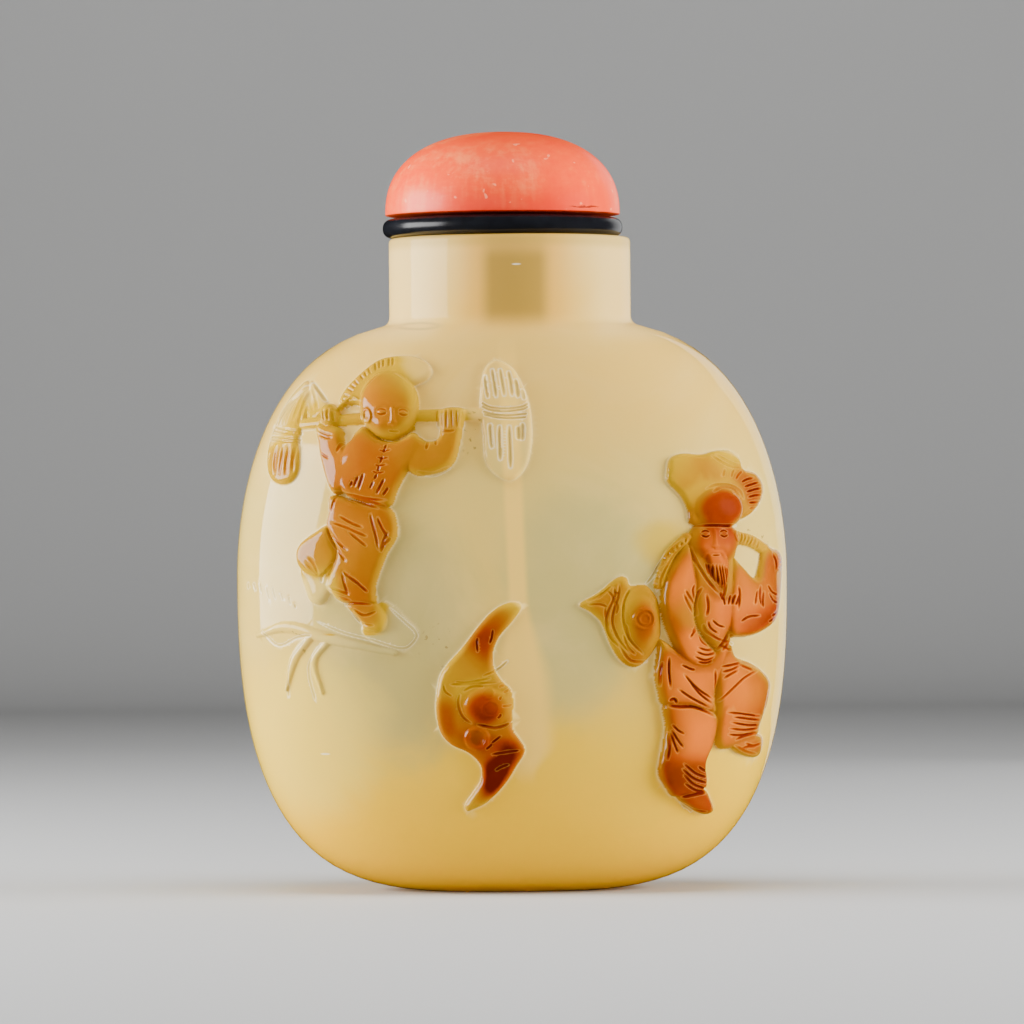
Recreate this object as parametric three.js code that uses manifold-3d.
// Snuff bottle of pale agate, hollowed, with a relief carved on its front, and its coral stopper.
// Millimetres, +Z up, origin on the ground under the middle of the foot, the carved front faces -Y.
import * as THREE from 'three';
import { mergeVertices } from 'three/addons/utils/BufferGeometryUtils.js';
import Module from 'manifold-3d';

const wasm = await Module();
wasm.setup();

// Body of the bottle
const BODY_WIDTH = 49.0;
const BODY_DEPTH = 30.0;
const BODY_HEIGHT = 50.3; // from the foot to the root of the neck
const WIDEST_HEIGHT = 28.1;
const FOOT_WIDTH = 17.0;
const FOOT_DEPTH = 10.4;
const LOWER_CURVE = 2.6; // powers of the rounded outline below and above the widest level
const UPPER_CURVE = 1.92;
const SIDE_CURVE = 3.77;
const SECTION_CURVE = 2.2; // power of the level section, where 2 is an ellipse

// Hollow inside
const BODY_WALL = 3.0;
const FLOOR_THICKNESS = 3.4;
const SHOULDER_THICKNESS = 3.0;
const BORE_DIAMETER = 7.4;

// Neck
const NECK_DIAMETER = 21.5;
const NECK_HEIGHT = 7.7;
const NECK_FILLET = 0.8;
const LIP_ROUNDING = 0.4;

// Stopper
const STOPPER_SHIFT = -0.6; // the cap is set a little to one side of the neck
const COLLAR_INSET = 0.05; // collar edge inside the neck's radius
const COLLAR_THICKNESS = 1.8;
const CAP_INSET = 0.25; // coral edge inside the collar's radius
const CAP_HEIGHT = 7.65;
const CAP_CURVE = 2.35;
const CORK_CLEARANCE = 0.3;
const CORK_LENGTH = 6.0;
const SPOON_SHIFT = -0.45;
const SPOON_LEAN = 2.1; // degrees
const SHAFT_DIAMETER = 1.3;
const BOWL_WIDTH = 4.0;
const BOWL_LENGTH = 13.0;
const BOWL_THICKNESS = 0.9;
const TIP_HEIGHT = 7.6; // spoon tip above the floor of the hollow

// Carving
const CARVING_RISE = 1.25; // how far the highest forms stand off the body
const CARVING_ROOT = 0.8; // how far each form runs into the wall
const EDGE_ROUNDING = 0.5;
const STRIP_ROUNDING = 0.3;
const LOW_FORM = 0.6; // forms up to this share of the rise have sides in one slope

// How finely round shapes are divided
const BODY_SIDES = 44;
const HOLLOW_SIDES = 20;
const STOPPER_SIDES = 32;
const SPOON_SIDES = 8;
const SHORTEST_EDGE = 0.16;
const SMALLEST_FACET = 1e-5;
const PINCH_SHARE = 0.05;

const LIP_HEIGHT = BODY_HEIGHT + NECK_HEIGHT;
const NECK_RADIUS = NECK_DIAMETER / 2;
const BORE_RADIUS = BORE_DIAMETER / 2;

// Half the size of a rounded outline at a height, from its foot through its widest level to its top
function swell(height, { base, summit, half, foot, top }) {
  const below = height < WIDEST_HEIGHT;
  const span = below ? WIDEST_HEIGHT - base : summit - WIDEST_HEIGHT;
  const power = below ? LOWER_CURVE : UPPER_CURVE;
  const end = below ? foot : top;
  const reach = (1 - (end / half) ** SIDE_CURVE) ** (1 / power);
  const share = (Math.abs(height - WIDEST_HEIGHT) / span) * reach;
  return half * Math.max(0, 1 - share ** power) ** (1 / SIDE_CURVE);
}

// Half width, half depth and section power of the outer body at a height
function bodySection(height) {
  const range = { base: 0, summit: BODY_HEIGHT, top: NECK_RADIUS };
  const halfWidth = swell(height, { ...range, half: BODY_WIDTH / 2, foot: FOOT_WIDTH / 2 });
  const halfDepth = swell(height, { ...range, half: BODY_DEPTH / 2, foot: FOOT_DEPTH / 2 });
  const towardsNeck = Math.max(0, (height - WIDEST_HEIGHT) / (BODY_HEIGHT - WIDEST_HEIGHT));
  return [halfWidth, halfDepth, SECTION_CURVE + (2 - SECTION_CURVE) * towardsNeck ** 2];
}

// The same for the hollow, from its floor to the bottom of the bore
function hollowSection(height) {
  const range = { base: FLOOR_THICKNESS, summit: BODY_HEIGHT - SHOULDER_THICKNESS, top: BORE_RADIUS };
  const inside = (size) => size / 2 - BODY_WALL;
  const halfWidth = swell(height, { ...range, half: inside(BODY_WIDTH), foot: inside(FOOT_WIDTH) });
  const halfDepth = swell(height, { ...range, half: inside(BODY_DEPTH), foot: FOOT_DEPTH / 4 });
  const towardsNeck = Math.max(0, (height - WIDEST_HEIGHT) / (range.summit - WIDEST_HEIGHT));
  return [halfWidth, halfDepth, SECTION_CURVE + (2 - SECTION_CURVE) * towardsNeck ** 2];
}

// Point of a level section, a turn from its right end
function pointAt(angle, height, [halfWidth, halfDepth, power]) {
  const across = Math.sign(Math.cos(angle)) * Math.abs(Math.cos(angle)) ** (2 / power);
  const deep = Math.sign(Math.sin(angle)) * Math.abs(Math.sin(angle)) ** (2 / power);
  return new THREE.Vector3(halfWidth * across, halfDepth * deep, height);
}

// One ring of points, counterclockwise seen from above
function ringOf(sides, place) {
  return Array.from({ length: sides }, (_, i) => place((2 * Math.PI * i) / sides));
}

// One level ring of a section
function ring(height, section, sides) {
  return ringOf(sides, (angle) => pointAt(angle, height, section));
}

// Body point a fillet's length down from the root of the neck, found by halving
function filletFoot(angle) {
  const root = pointAt(angle, BODY_HEIGHT, [NECK_RADIUS, NECK_RADIUS, 2]);
  let [low, high] = [BODY_HEIGHT - NECK_FILLET, BODY_HEIGHT];
  for (let i = 0; i < 20; i++) {
    const middle = (low + high) / 2;
    if (pointAt(angle, middle, bodySection(middle)).distanceTo(root) > NECK_FILLET) low = middle;
    else high = middle;
  }
  return pointAt(angle, low, bodySection(low));
}

// Closed geometry from points and faces, with its shared points joined
function meshOf(points, faces) {
  const geometry = new THREE.BufferGeometry();
  const positions = points.flatMap((p) => [p.x, p.y, p.z]);
  geometry.setAttribute('position', new THREE.Float32BufferAttribute(positions, 3));
  geometry.setIndex(faces.flat());
  return mergeVertices(geometry, 1e-5);
}

// Faces between rings of equal size, each ring to the next
function walls(ringCount, sides) {
  const faces = [];
  for (let level = 0; level + 1 < ringCount; level++) {
    for (let i = 0; i < sides; i++) {
      const low = level * sides + i;
      const lowNext = level * sides + ((i + 1) % sides);
      faces.push([low, lowNext, lowNext + sides], [low, lowNext + sides, low + sides]);
    }
  }
  return faces;
}

// Solid between rings of equal size, listed from the bottom up, with flat ends
function loft(rings) {
  const sides = rings[0].length;
  const points = rings.flat();
  const faces = walls(rings.length, sides);
  const middleOf = (loop) => loop.reduce((sum, p) => sum.add(p), new THREE.Vector3()).divideScalar(sides);
  const bottom = points.push(middleOf(rings[0])) - 1;
  const top = points.push(middleOf(rings.at(-1))) - 1;
  const last = (rings.length - 1) * sides;
  for (let i = 0; i < sides; i++) {
    const next = (i + 1) % sides;
    faces.push([bottom, next, i], [top, last + i, last + next]);
  }
  return meshOf(points, faces);
}

// Heights from one end to the other, closer together where the outline curves most
function levels(base, summit, countBelow, countAbove) {
  const below = Array.from({ length: countBelow }, (_, i) => {
    return base + (WIDEST_HEIGHT - base) * (1 - Math.cos((i / countBelow) * (Math.PI / 2)));
  });
  const above = Array.from({ length: countAbove + 1 }, (_, i) => {
    return WIDEST_HEIGHT + (summit - WIDEST_HEIGHT) * Math.sin((i / countAbove) * (Math.PI / 2));
  });
  return [...below, ...above];
}

// Outside of the bottle without its carving: body, hollow fillet under the neck, neck and rounded lip
function bottleOutside() {
  const round = (height, radius) => ring(height, [radius, radius, 2], BODY_SIDES);
  const heights = levels(0, BODY_HEIGHT - NECK_FILLET, 12, 10);
  const rings = heights.map((z) => ring(z, bodySection(z), BODY_SIDES));
  const neck = [NECK_RADIUS, NECK_RADIUS, 2];
  for (const share of [0, 0.33, 0.67, 1]) {
    rings.push(ringOf(BODY_SIDES, (angle) => {
      const root = pointAt(angle, BODY_HEIGHT, neck);
      const start = filletFoot(angle).lerp(root, share);
      return start.lerp(root.lerp(pointAt(angle, BODY_HEIGHT + NECK_FILLET, neck), share), share);
    }));
  }
  for (const turn of [0, 45, 90]) {
    const angle = THREE.MathUtils.degToRad(turn);
    const height = LIP_HEIGHT - LIP_ROUNDING * (1 - Math.sin(angle));
    rings.push(round(height, NECK_RADIUS - LIP_ROUNDING * (1 - Math.cos(angle))));
  }
  return loft(rings);
}

// Hollow and bore as one solid, which runs out above the lip
function bottleInside() {
  const summit = BODY_HEIGHT - SHOULDER_THICKNESS;
  const rings = levels(FLOOR_THICKNESS, summit, 6, 6).map((z) => ring(z, hollowSection(z), HOLLOW_SIDES));
  for (const height of [LIP_HEIGHT - LIP_ROUNDING, LIP_HEIGHT + LIP_ROUNDING]) {
    const flare = Math.max(0, height - LIP_HEIGHT + LIP_ROUNDING);
    rings.push(ring(height, [BORE_RADIUS + flare, BORE_RADIUS + flare, 2], HOLLOW_SIDES));
  }
  return loft(rings);
}

// Place on the carved face: across in hundredths of the half width, up in hundredths of the body height
function facePlace([across, up]) {
  return new THREE.Vector2((across * BODY_WIDTH) / 200, (up * BODY_HEIGHT) / 100);
}

// How far a point lies outside the body's section at its height, 0 on the surface
function outside(point) {
  const [halfWidth, halfDepth, power] = bodySection(point.z);
  return Math.abs(point.x / halfWidth) ** power + Math.abs(point.y / halfDepth) ** power - 1;
}

// Point a distance off the front of the body, square to its surface. It stands off less near the sides
const SIDE_FADE = 8;
function onFront(place, rise) {
  const [halfWidth, halfDepth, power] = bodySection(place.y);
  const share = Math.min(1, Math.abs(place.x / halfWidth));
  const foot = new THREE.Vector3(place.x, -halfDepth * (1 - share ** power) ** (1 / power), place.y);
  const step = 1e-3;
  const slope = (direction) => {
    const ahead = outside(foot.clone().addScaledVector(direction, step));
    return (ahead - outside(foot.clone().addScaledVector(direction, -step))) / (2 * step);
  };
  const axes = [new THREE.Vector3(1, 0, 0), new THREE.Vector3(0, 1, 0), new THREE.Vector3(0, 0, 1)];
  const normal = new THREE.Vector3(...axes.map(slope)).normalize();
  const fade = rise > 0 ? 1 - share ** SIDE_FADE : 1;
  return foot.addScaledVector(normal, rise * fade);
}

// Smooth closed outline through a few places on the face
function outlineOf(places, steps = 2) {
  const points = places.map(facePlace).map((p) => new THREE.Vector3(p.x, p.y, 0));
  const curve = new THREE.CatmullRomCurve3(points, true, 'centripetal');
  const count = points.length * steps;
  return Array.from({ length: count }, (_, i) => {
    const p = curve.getPoint(i / count);
    return new THREE.Vector2(p.x, p.y);
  });
}

// Raised strip along a path, with its width at each place in hundredths of the half width
function strip(places, widths, height, steps = 2) {
  const points = places.map(facePlace).map((p) => new THREE.Vector3(p.x, p.y, 0));
  const curve = new THREE.CatmullRomCurve3(points, false, 'centripetal');
  const count = (points.length - 1) * steps;
  const right = [];
  const left = [];
  for (let i = 0; i <= count; i++) {
    const along = (i / count) * (widths.length - 1);
    const from = Math.min(widths.length - 2, Math.floor(along));
    const width = THREE.MathUtils.lerp(widths[from], widths[from + 1], along - from);
    const reach = (width * BODY_WIDTH) / 400;
    const middle = curve.getPoint(i / count);
    const heading = curve.getTangent(i / count);
    right.push(new THREE.Vector2(middle.x + heading.y * reach, middle.y - heading.x * reach));
    left.unshift(new THREE.Vector2(middle.x - heading.y * reach, middle.y + heading.x * reach));
  }
  const cap = (from, to) => {
    const bulge = new THREE.Vector2(to.y - from.y, from.x - to.x).multiplyScalar(0.4);
    return from.clone().add(to).multiplyScalar(0.5).add(bulge);
  };
  const outline = [...right, cap(right.at(-1), left[0]), ...left, cap(left.at(-1), right[0])];
  const farLeft = 2 * count + 2;
  const rungs = [[count, count + 1, count + 2], [farLeft, farLeft + 1, 0]];
  for (let i = 0; i < count; i++) {
    rungs.push([i, i + 1, farLeft - i - 1], [i, farLeft - i - 1, farLeft - i]);
  }
  return raised(outline, height, STRIP_ROUNDING, rungs);
}

// Oval outline around a middle, with half sizes in the shares of the face
function ovalOf([across, up], [halfAcross, halfUp], sides = 12) {
  return Array.from({ length: sides }, (_, i) => {
    const angle = (2 * Math.PI * i) / sides;
    return facePlace([across + halfAcross * Math.cos(angle), up + halfUp * Math.sin(angle)]);
  });
}

// Distance from a point along a direction to the far side of an outline
function thicknessAt(outline, index, inward) {
  const start = outline[index];
  let nearest = Infinity;
  for (let i = 0; i < outline.length; i++) {
    const next = (i + 1) % outline.length;
    if (i === index || next === index) continue;
    const edge = outline[next].clone().sub(outline[i]);
    const turn = inward.cross(edge);
    if (Math.abs(turn) < 1e-9) continue;
    const gap = outline[i].clone().sub(start);
    const reach = gap.cross(edge) / turn;
    const along = gap.cross(inward) / turn;
    if (reach > 0 && along >= 0 && along <= 1) nearest = Math.min(nearest, reach);
  }
  return nearest;
}

// The outline moved inward, by less where it is thin
function insetOf(outline, distance) {
  return outline.map((point, i) => {
    const before = outline.at(i - 1);
    const after = outline[(i + 1) % outline.length];
    const heading = after.clone().sub(before).normalize();
    const inward = new THREE.Vector2(-heading.y, heading.x);
    const room = thicknessAt(outline, i, inward);
    return point.clone().addScaledVector(inward, Math.min(distance, room * 0.35));
  });
}

// Triangles that fill an outline, where each cuts off the corner with the shortest new edge
function filled(outline) {
  const left = outline.map((_, i) => i);
  const turnAt = (a, b, c) => b.clone().sub(a).cross(c.clone().sub(a));
  const holds = (corners, point) => corners.every((p, i) => turnAt(p, corners[(i + 1) % 3], point) > 0);
  const faces = [];
  while (left.length > 3) {
    const corners = left.map((middle, k) => {
      const face = [left.at(k - 1), middle, left[(k + 1) % left.length]];
      const points = face.map((i) => outline[i]);
      const clear = !left.some((i) => !face.includes(i) && holds(points, outline[i]));
      const turn = turnAt(...points);
      const cost = clear && turn > 1e-6 ? points[0].distanceTo(points[2]) : Infinity;
      return { k, face, cost, turn };
    });
    corners.sort((one, other) => one.cost - other.cost || other.turn - one.turn);
    faces.push(corners[0].face);
    left.splice(corners[0].k, 1);
  }
  return [...faces, left];
}

// Raised form with a rounded edge, standing on the front of the body inside an outline
function raised(outline, height, rounding = EDGE_ROUNDING, across = null) {
  const ordered = THREE.ShapeUtils.isClockWise(outline) ? outline.slice().reverse() : outline;
  const top = insetOf(ordered, rounding);
  const rise = height * CARVING_RISE;
  const rings = [ordered.map((p) => onFront(p, -CARVING_ROOT))];
  if (height > LOW_FORM) rings.push(ordered.map((p) => onFront(p, rise * 0.5)));
  rings.push(top.map((p) => onFront(p, rise)));
  const count = ordered.length;
  const faces = walls(rings.length, count);
  const crown = (rings.length - 1) * count;
  for (const [a, b, c] of across ?? filled(ordered)) {
    faces.push([c, b, a], [a + crown, b + crown, c + crown]);
  }
  return meshOf(rings.flat(), faces);
}

// Domed oval form, such as a head or a fist
function domed(middle, halfSizes, height, sides = 12) {
  const rise = height * CARVING_RISE;
  const steps = [[1, -CARVING_ROOT], [1, rise * 0.3], [0.86, rise * 0.68], [0.5, rise * 0.93]];
  const rings = steps.map(([share, lift]) => {
    return ovalOf(middle, halfSizes.map((size) => size * share), sides).map((p) => onFront(p, lift));
  });
  const crown = onFront(facePlace(middle), rise);
  const root = onFront(facePlace(middle), -CARVING_ROOT);
  const points = [...rings.flat(), root, crown];
  const faces = walls(rings.length, sides);
  const rootIndex = rings.length * sides;
  for (let i = 0; i < sides; i++) {
    const next = (i + 1) % sides;
    const last = (rings.length - 1) * sides;
    faces.push([rootIndex, next, i], [rootIndex + 1, last + i, last + next]);
  }
  return meshOf(points, faces);
}

// Round ridge, such as an eye or a knot, as a ring of four-sided section
function ridge([across, up], radius, width, height) {
  const sides = 12;
  const rise = height * CARVING_RISE;
  const aspect = BODY_WIDTH / (2 * BODY_HEIGHT);
  const circle = (reach) => ovalOf([across, up], [reach, reach * aspect], sides);
  const outer = circle(radius + width / 2);
  const crest = circle(radius);
  const inner = circle(radius - width / 2);
  const loops = [
    outer.map((p) => onFront(p, -CARVING_ROOT)),
    crest.map((p) => onFront(p, rise)),
    inner.map((p) => onFront(p, -CARVING_ROOT)),
  ];
  const faces = [];
  for (const level of [0, 1, 2]) {
    const nextLevel = (level + 1) % 3;
    for (let i = 0; i < sides; i++) {
      const next = (i + 1) % sides;
      const corner = [level * sides + i, level * sides + next, nextLevel * sides + next, nextLevel * sides + i];
      faces.push([corner[0], corner[1], corner[2]], [corner[0], corner[2], corner[3]]);
    }
  }
  return meshOf(loops.flat(), faces);
}

// Boy with a carrying pole over his shoulders, striding to the left
function woodcutter() {
  const hatBrim = [
    [-60.5, 85.5], [-59.5, 88], [-54, 90.5], [-47.5, 93], [-41.5, 94], [-35, 94],
    [-30, 93], [-28, 91], [-30, 89.5], [-35.5, 88.5], [-43.5, 85.5], [-53.5, 84.5],
  ];
  const leftSleeve = [
    [-68.5, 82], [-68, 78.5], [-66.5, 74.5], [-63.5, 70], [-58.5, 70.5], [-54.5, 72.5],
    [-55.5, 76.5], [-58.5, 78.5], [-60, 81.5],
  ];
  const jacket = [
    [-58.5, 78], [-55, 80.5], [-51, 81.5], [-46, 79.5], [-40, 79], [-34.5, 80.5], [-31, 78.5],
    [-32.5, 76], [-37, 73.5], [-40, 70.5], [-43, 67.5], [-50.5, 68], [-59.5, 70], [-62, 74],
  ];
  const rightSleeve = [
    [-34, 80], [-29.5, 79], [-25.5, 80], [-25, 84.5], [-16, 84.5], [-17, 81.5], [-18, 78.5],
    [-19.5, 75.5], [-23.5, 74], [-29, 73], [-34.5, 73], [-38.5, 76],
  ];
  const backLeg = [
    [-65, 64.5], [-70.5, 63.5], [-75.5, 61.5], [-77, 59.5], [-75, 57], [-69, 55.5],
    [-64, 56.5], [-61, 59], [-62.5, 61.5],
  ];
  const backFoot = [[-75, 57.5], [-73.5, 53.5], [-71.5, 51.5], [-68, 51], [-65, 52.5], [-63.5, 56]];
  const frontLeg = [
    [-63.5, 70], [-65, 67], [-65.5, 64.5], [-62, 60], [-65.5, 55], [-64.5, 53], [-59, 51],
    [-48.5, 51], [-48, 54], [-44.5, 59.5], [-40.5, 62.5], [-40.5, 64.5], [-43, 67.5], [-53.5, 68.5],
  ];
  const shoe = [
    [-58.5, 51], [-54.5, 48.5], [-52, 46.5], [-48, 46], [-45, 46.5], [-44.5, 48.5],
    [-46.5, 50.5], [-49.5, 51.5],
  ];
  return [
    strip([[-74.5, 82.5], [-43.5, 83.5], [-10, 83.5]], [4, 4.5, 5], 0.35, 3),
    raised(outlineOf(hatBrim), 0.5),
    raised(outlineOf(backFoot), 0.45),
    raised(outlineOf(backLeg), 0.7),
    raised(outlineOf(frontLeg), 0.85),
    raised(outlineOf(shoe), 0.75),
    raised(outlineOf(leftSleeve), 0.85),
    raised(outlineOf(rightSleeve), 0.8),
    raised(outlineOf(jacket), 0.95),
    domed([-43, 85.5], [10.5, 6], 1.25, 14),
    domed([-64, 83.5], [3.4, 2.3], 1, 8),
    ...brushwood(),
  ];
}

// Two tied bundles at the ends of the pole
function brushwood() {
  const leftBundle = [
    [-72.5, 90], [-77.5, 88.5], [-82, 85.5], [-85, 82], [-87, 79], [-88, 75.5], [-86, 73],
    [-82.5, 72], [-78.5, 72.5], [-76, 74.5], [-75.5, 79], [-74, 84],
  ];
  const looseTip = [[-72, 90], [-68, 88], [-65, 85.5], [-68.5, 83.5], [-73, 83]];
  const rightBundle = [
    [-5, 93], [0.5, 91.5], [4.5, 88.5], [7, 84.5], [7.5, 79], [5, 74.5], [0, 72.5],
    [-5.5, 73], [-9, 76], [-10, 80.5], [-11, 85], [-10, 89.5], [-8.5, 92],
  ];
  return [
    raised(outlineOf(looseTip), 0.35, 0.3),
    raised(outlineOf(leftBundle), 0.65),
    raised(outlineOf(rightBundle), 0.5),
    strip([[-85, 81.5], [-75.5, 80]], [4, 4], 0.75, 1),
    strip([[-10, 84], [6.5, 84.5]], [4, 4], 0.6),
  ];
}

// Ledge under the boy, with a grass branch growing from it to the left
function ledgeAndBranch() {
  const ledge = [[-46, 51.5], [-37, 48], [-33.5, 46], [-35.5, 44], [-39.5, 43], [-49.5, 44.5], [-53.5, 47]];
  const stem = [[-91.5, 45.5], [-80.5, 47], [-65, 45], [-42, 42.5]];
  const longLeaf = [[-72, 45.5], [-78, 41.5], [-81, 36]];
  const shortLeaf = [[-66, 44.5], [-71, 41], [-68, 35.5]];
  return [
    raised(outlineOf(ledge), 0.16, 0.3),
    strip(stem, [1.5, 4, 4, 2], 0.28),
    strip(longLeaf, [3, 3, 1], 0.24),
    strip(shortLeaf, [2.5, 2.5, 1], 0.2),
  ];
}

// Bat in flight, wings up and down, seen from above
function bat() {
  const wings = [
    [3.5, 50], [-2.5, 51], [-12, 47], [-23.5, 40.5], [-27, 35], [-27, 31.5], [-22, 26.5], [-16, 25],
    [-11.5, 22], [-14.5, 18], [-17, 15.5], [-13.5, 15.5], [-3.5, 19.5], [4, 25.5], [-0.5, 31],
    [0, 34], [-4, 37.5], [-7, 41], [-5, 45],
  ];
  return [
    raised(outlineOf(wings), 0.5),
    domed([-9.5, 33], [9, 3.8], 0.85),
    ridge([-12.5, 28], 4, 2, 0.85),
  ];
}

// Bearded fisherman striding, a fist at his shoulder holding the rope of the fish on his back
function fisherman() {
  const hat = [
    [55, 73.5], [56, 76], [61, 77], [67.5, 76.5], [77.5, 77], [83, 74], [87.5, 73], [90.5, 71],
    [90, 69], [87, 67], [82.5, 65], [72.5, 64], [63.5, 64.5], [62, 67], [59.5, 69.5], [55.5, 71.5],
  ];
  const leftSleeve = [
    [62, 61], [57, 58.5], [53.5, 55], [52, 51.5], [53, 48], [56, 44], [59.5, 41], [65, 39.5],
    [69.5, 40.5], [71.5, 42], [65, 46.5], [64, 49.5], [66, 54],
  ];
  const chest = [
    [63, 61.5], [71.5, 60], [78, 60], [78.5, 52], [78, 48.5], [76, 45], [71.5, 42.5], [66.5, 45.5],
    [64.5, 49.5],
  ];
  const rightSleeve = [
    [77, 59], [81, 57.5], [86.5, 55], [88, 57.5], [89.5, 60], [92.5, 60.5], [96.5, 58.5], [97, 56],
    [96, 50], [94, 47], [87, 45], [79.5, 44.5], [76, 45.5], [76, 54],
  ];
  const beard = [[66.5, 60], [71, 61.5], [76, 59.5], [75.5, 55.5], [73.5, 52.5], [69.5, 55.5]];
  return [
    raised(outlineOf(hat), 0.6),
    strip([[80, 62], [90.5, 60]], [4.5, 4.5], 0.5),
    strip([[62, 62], [56, 59], [52, 54]], [3.5, 3.5, 3.5], 0.6),
    raised(outlineOf(rightSleeve), 0.95),
    raised(outlineOf(chest), 0.8),
    raised(outlineOf(leftSleeve), 1),
    domed([73, 67], [9.2, 3.8], 1.1),
    domed([71.5, 61], [9.4, 4.1], 1.1),
    domed([94, 57.8], [3, 2.2], 1.3, 8),
    raised(outlineOf(beard), 1.25),
    ...fishermansLegs(),
    ...fish(),
  ];
}

// Robe over the hips, the standing leg, and the leg lifted behind it
function fishermansLegs() {
  const robe = [
    [52, 44.5], [50, 38.5], [51, 35.5], [53, 33], [62, 32.5], [71.5, 31.5], [72, 36], [77, 43.5],
    [75.5, 45], [67.5, 41], [60, 42],
  ];
  const standingLeg = [
    [53, 33.5], [53.5, 29], [51, 21], [54, 18.5], [57.5, 17], [68, 18.5], [68, 23], [71, 26.5],
    [71.5, 31.5], [64, 33],
  ];
  const shoe = [[57, 17.5], [62, 15], [67.5, 14], [71, 14.5], [70, 17], [67.5, 18.5], [62.5, 19]];
  const raisedLeg = [
    [71.5, 40], [77, 43.5], [79.5, 41.5], [85.5, 40], [90, 38], [92.5, 36], [91.5, 33], [88, 27.5],
    [80.5, 25.5], [72, 26], [71.5, 34],
  ];
  const raisedFoot = [[76.5, 26], [81.5, 27], [87.5, 27.5], [89.5, 26.5], [88.5, 24], [85.5, 23.5], [79.5, 24.5]];
  return [
    raised(outlineOf(raisedLeg), 0.75),
    raised(outlineOf(raisedFoot), 0.9),
    raised(outlineOf(robe), 0.85),
    raised(outlineOf(standingLeg), 0.95),
    raised(outlineOf(shoe), 0.8),
  ];
}

// Fish carried on the back, its tail up to the left
function fish() {
  const body = [
    [23.5, 50.5], [30.5, 53], [37, 55], [40.5, 55.5], [42, 54], [47.5, 54], [51.5, 51.5], [52.5, 48.5],
    [52, 44.5], [48, 41.5], [43.5, 39.5], [38.5, 40.5], [34.5, 43.5], [31.5, 47.5], [27.5, 49.5],
  ];
  return [
    raised(outlineOf(body), 0.5),
    domed([45.8, 47.5], [6.8, 5.6], 0.8),
    ridge([46, 48], 2.6, 1.4, 0.95),
  ];
}

// Closed geometry to a solid that can be joined and cut, and back
function solidOf(geometry) {
  const mesh = new wasm.Mesh({
    numProp: 3,
    vertProperties: new Float32Array(geometry.attributes.position.array),
    triVerts: new Uint32Array(geometry.index.array),
  });
  return new wasm.Manifold(mesh);
}

// The same faces without the skins of pockets that lie sealed between forms, which no carver could reach
function withoutPockets(positions, corners) {
  const leader = Array.from({ length: positions.length / 3 }, (_, i) => i);
  const leaderOf = (i) => {
    while (leader[i] !== i) i = leader[i];
    return i;
  };
  for (let t = 0; t < corners.length; t += 3) {
    leader[leaderOf(corners[t + 1])] = leaderOf(corners[t]);
    leader[leaderOf(corners[t + 2])] = leaderOf(corners[t]);
  }
  const volumes = new Map();
  for (let t = 0; t < corners.length; t += 3) {
    const [a, b, c] = [0, 1, 2].map((k) => new THREE.Vector3().fromArray(positions, 3 * corners[t + k]));
    const skin = leaderOf(corners[t]);
    volumes.set(skin, (volumes.get(skin) ?? 0) + a.dot(b.cross(c)));
  }
  return corners.filter((_, i) => volumes.get(leaderOf(corners[i - (i % 3)])) > 0);
}

// The same faces with the ends of each very short edge brought together, where that folds nothing over
function withoutSlivers(positions, corners) {
  const faces = Array.from({ length: corners.length / 3 }, (_, t) => [...corners.slice(3 * t, 3 * t + 3)]);
  const touching = Array.from({ length: positions.length / 3 }, () => new Set());
  faces.forEach((face, t) => face.forEach((i) => touching[i].add(t)));
  const at = (i) => new THREE.Vector3().fromArray(positions, 3 * i);
  const crossOf = ([a, b, c]) => at(b).sub(at(a)).cross(at(c).sub(at(a)));
  const neighbours = (i) => new Set([...touching[i]].flatMap((t) => faces[t]).filter((j) => j !== i));
  const moved = (face, from, to) => face.map((i) => (i === from ? to : i));
  const mayJoin = (from, to) => {
    const near = neighbours(to);
    if ([...neighbours(from)].filter((i) => near.has(i)).length !== 2) return false;
    return [...touching[from]].filter((t) => !faces[t].includes(to)).every((t) => {
      const before = crossOf(faces[t]);
      const after = crossOf(moved(faces[t], from, to));
      return after.length() > SMALLEST_FACET && before.dot(after) > 0.5 * before.length() * after.length();
    });
  };
  const join = (from, to) => {
    for (const t of [...touching[from]]) {
      if (faces[t].includes(to)) {
        faces[t].forEach((i) => touching[i].delete(t));
        faces[t] = null;
      } else {
        faces[t] = moved(faces[t], from, to);
        touching[to].add(t);
      }
    }
    touching[from].clear();
  };
  for (const limit of [SHORTEST_EDGE / 8, SHORTEST_EDGE / 2, SHORTEST_EDGE]) {
    for (let t = 0; t < faces.length; t++) {
      for (const [k, next] of [[0, 1], [1, 2], [2, 0]]) {
        if (!faces[t] || at(faces[t][k]).distanceTo(at(faces[t][next])) > limit) continue;
        const [a, b] = [faces[t][k], faces[t][next]];
        if (mayJoin(a, b)) join(a, b);
        else if (mayJoin(b, a)) join(b, a);
      }
    }
  }
  return faces.filter((face) => face).flat();
}

// Draws apart points in one place that belong to different sheets of the skin, each towards its own sheet
function withoutPinches(positions, corners) {
  const around = new Map();
  corners.forEach((i, k) => {
    const face = corners.slice(k - (k % 3), k - (k % 3) + 3);
    around.set(i, [...(around.get(i) ?? []), ...face.filter((j) => j !== i)]);
  });
  const at = (i) => new THREE.Vector3().fromArray(positions, 3 * i);
  const parted = positions.slice();
  const taken = new Set();
  for (const [i, others] of around) {
    const place = at(i).toArray().map((value) => value.toFixed(3)).join();
    if (taken.has(place)) {
      const middle = others.reduce((sum, j) => sum.add(at(j)), new THREE.Vector3()).divideScalar(others.length);
      at(i).lerp(middle, PINCH_SHARE).toArray(parted, 3 * i);
    }
    taken.add(place);
  }
  return parted;
}

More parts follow.
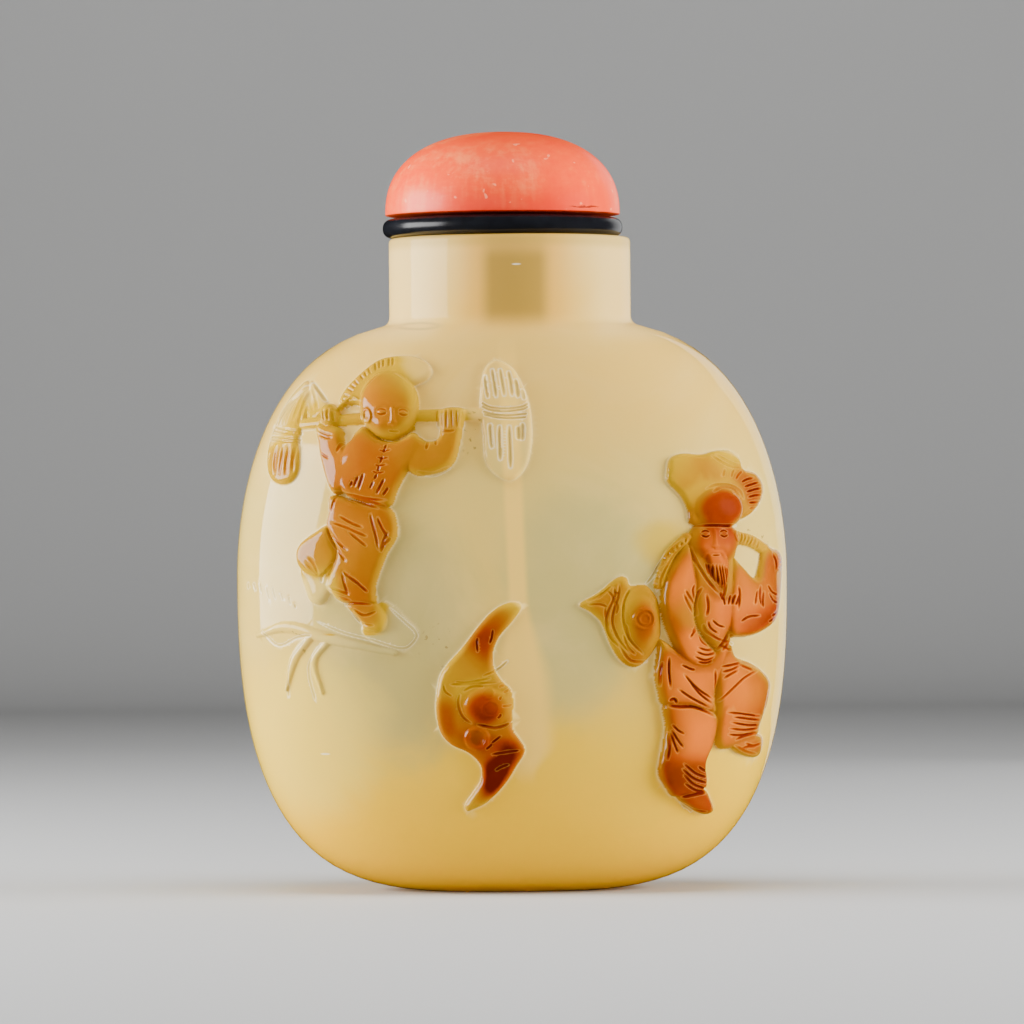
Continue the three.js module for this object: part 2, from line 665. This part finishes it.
function geometryOf(solid) {
  const mesh = solid.getMesh();
  const open = withoutPockets(mesh.vertProperties, mesh.triVerts);
  const corners = withoutSlivers(mesh.vertProperties, open);
  const geometry = new THREE.BufferGeometry();
  const positions = withoutPinches(mesh.vertProperties, corners);
  geometry.setAttribute('position', new THREE.BufferAttribute(positions, 3));
  geometry.setIndex(corners);
  return mergeVertices(geometry, 1e-6);
}

// The whole bottle: the carving joined to the outside, then the hollow and the bore cut out
function bottle() {
  const carving = [...woodcutter(), ...ledgeAndBranch(), ...bat(), ...fisherman()];
  const whole = carving.reduce((stone, form) => stone.add(solidOf(form)), solidOf(bottleOutside()));
  return geometryOf(whole.subtract(solidOf(bottleInside())));
}

// Turned piece from a profile that starts and ends on the axis
function turned(profile) {
  const lathe = new THREE.LatheGeometry(profile.map(([r, z]) => new THREE.Vector2(r, z)), STOPPER_SIDES);
  lathe.deleteAttribute('normal');
  lathe.deleteAttribute('uv');
  return mergeVertices(lathe.rotateX(Math.PI / 2), 1e-5);
}

const COLLAR_RADIUS = NECK_RADIUS - COLLAR_INSET;

// Black disc whose edge is a half round
function collar() {
  const rounding = COLLAR_THICKNESS / 2;
  const profile = [[0, 0]];
  for (const turn of [-90, -45, 0, 45, 90]) {
    const angle = THREE.MathUtils.degToRad(turn);
    const reach = COLLAR_RADIUS - rounding * (1 - Math.cos(angle));
    profile.push([reach, rounding * (1 + Math.sin(angle))]);
  }
  profile.push([0, COLLAR_THICKNESS]);
  return turned(profile);
}

// Coral dome, full at the sides and flattened on top, with a slightly turned-in foot
function cap() {
  const radius = COLLAR_RADIUS - CAP_INSET;
  const profile = [[0, 0]];
  const steps = 9;
  for (let i = 0; i <= steps; i++) {
    const angle = (i / steps) * (Math.PI / 2);
    const reach = i === steps ? 0 : radius * Math.cos(angle) ** (2 / CAP_CURVE);
    profile.push([reach, CAP_HEIGHT * Math.sin(angle) ** (2 / CAP_CURVE)]);
  }
  return turned(profile);
}

// Plug that fills the bore down from the collar, a little narrower at its foot
function cork() {
  const radius = BORE_RADIUS - CORK_CLEARANCE;
  const taper = CORK_CLEARANCE;
  return turned([[0, -CORK_LENGTH], [radius - taper, -CORK_LENGTH], [radius, 0], [0, 0]]);
}

// Spoon: a slim shaft that widens to a thin leaf-shaped bowl, leaning a little to the right
function spoon() {
  const top = LIP_HEIGHT - CORK_LENGTH;
  const tip = FLOOR_THICKNESS + TIP_HEIGHT;
  const lean = Math.tan(THREE.MathUtils.degToRad(SPOON_LEAN));
  const bowlRings = Array.from({ length: 11 }, (_, i) => tip + (BOWL_LENGTH * i) / 10);
  const sectionAt = (height) => {
    const share = Math.min(1, (height - tip) / BOWL_LENGTH);
    const shaft = SHAFT_DIAMETER / 2;
    const leaf = Math.sin(Math.PI * share ** 0.8) ** 0.75;
    const neck = share ** 2 * (3 - 2 * share);
    const point = share === 0 ? 0.15 : 0;
    const halfWidth = shaft * neck + (BOWL_WIDTH / 2) * Math.max(leaf || 0, point) * (1 - neck / 2);
    const halfDepth = shaft * neck + (BOWL_THICKNESS / 2) * (1 - neck) * (share === 0 ? 0.4 : 1);
    return [halfWidth, halfDepth, 2];
  };
  return loft([...bowlRings, top].map((z) => {
    const shift = new THREE.Vector3(SPOON_SHIFT + (top - z) * lean, 0, 0);
    return ring(z, sectionAt(z), SPOON_SIDES).map((point) => point.add(shift));
  }));
}

// Named piece at a height on the bottle's axis, or set to one side
function piece(name, geometry, look, height = 0, shift = 0) {
  const mesh = new THREE.Mesh(geometry, new THREE.MeshStandardMaterial(look));
  mesh.name = name;
  mesh.position.set(shift, 0, height);
  return mesh;
}

const model = new THREE.Group();
const agate = { color: 0xdcc99c, roughness: 0.12, metalness: 0 };
const coral = { color: 0xee7860, roughness: 0.22, metalness: 0 };
const blackened = { color: 0x101216, roughness: 0.2, metalness: 0 };
const corkBark = { color: 0x9a7a4c, roughness: 0.85, metalness: 0 };
const bone = { color: 0xe8d8b8, roughness: 0.4, metalness: 0 };
model.add(piece('bottle', bottle(), agate));
model.add(piece('stopper_collar', collar(), blackened, LIP_HEIGHT, STOPPER_SHIFT));
model.add(piece('stopper_cap', cap(), coral, LIP_HEIGHT + COLLAR_THICKNESS, STOPPER_SHIFT));
model.add(piece('stopper_cork', cork(), corkBark, LIP_HEIGHT));
model.add(piece('stopper_spoon', spoon(), bone));

export default model;
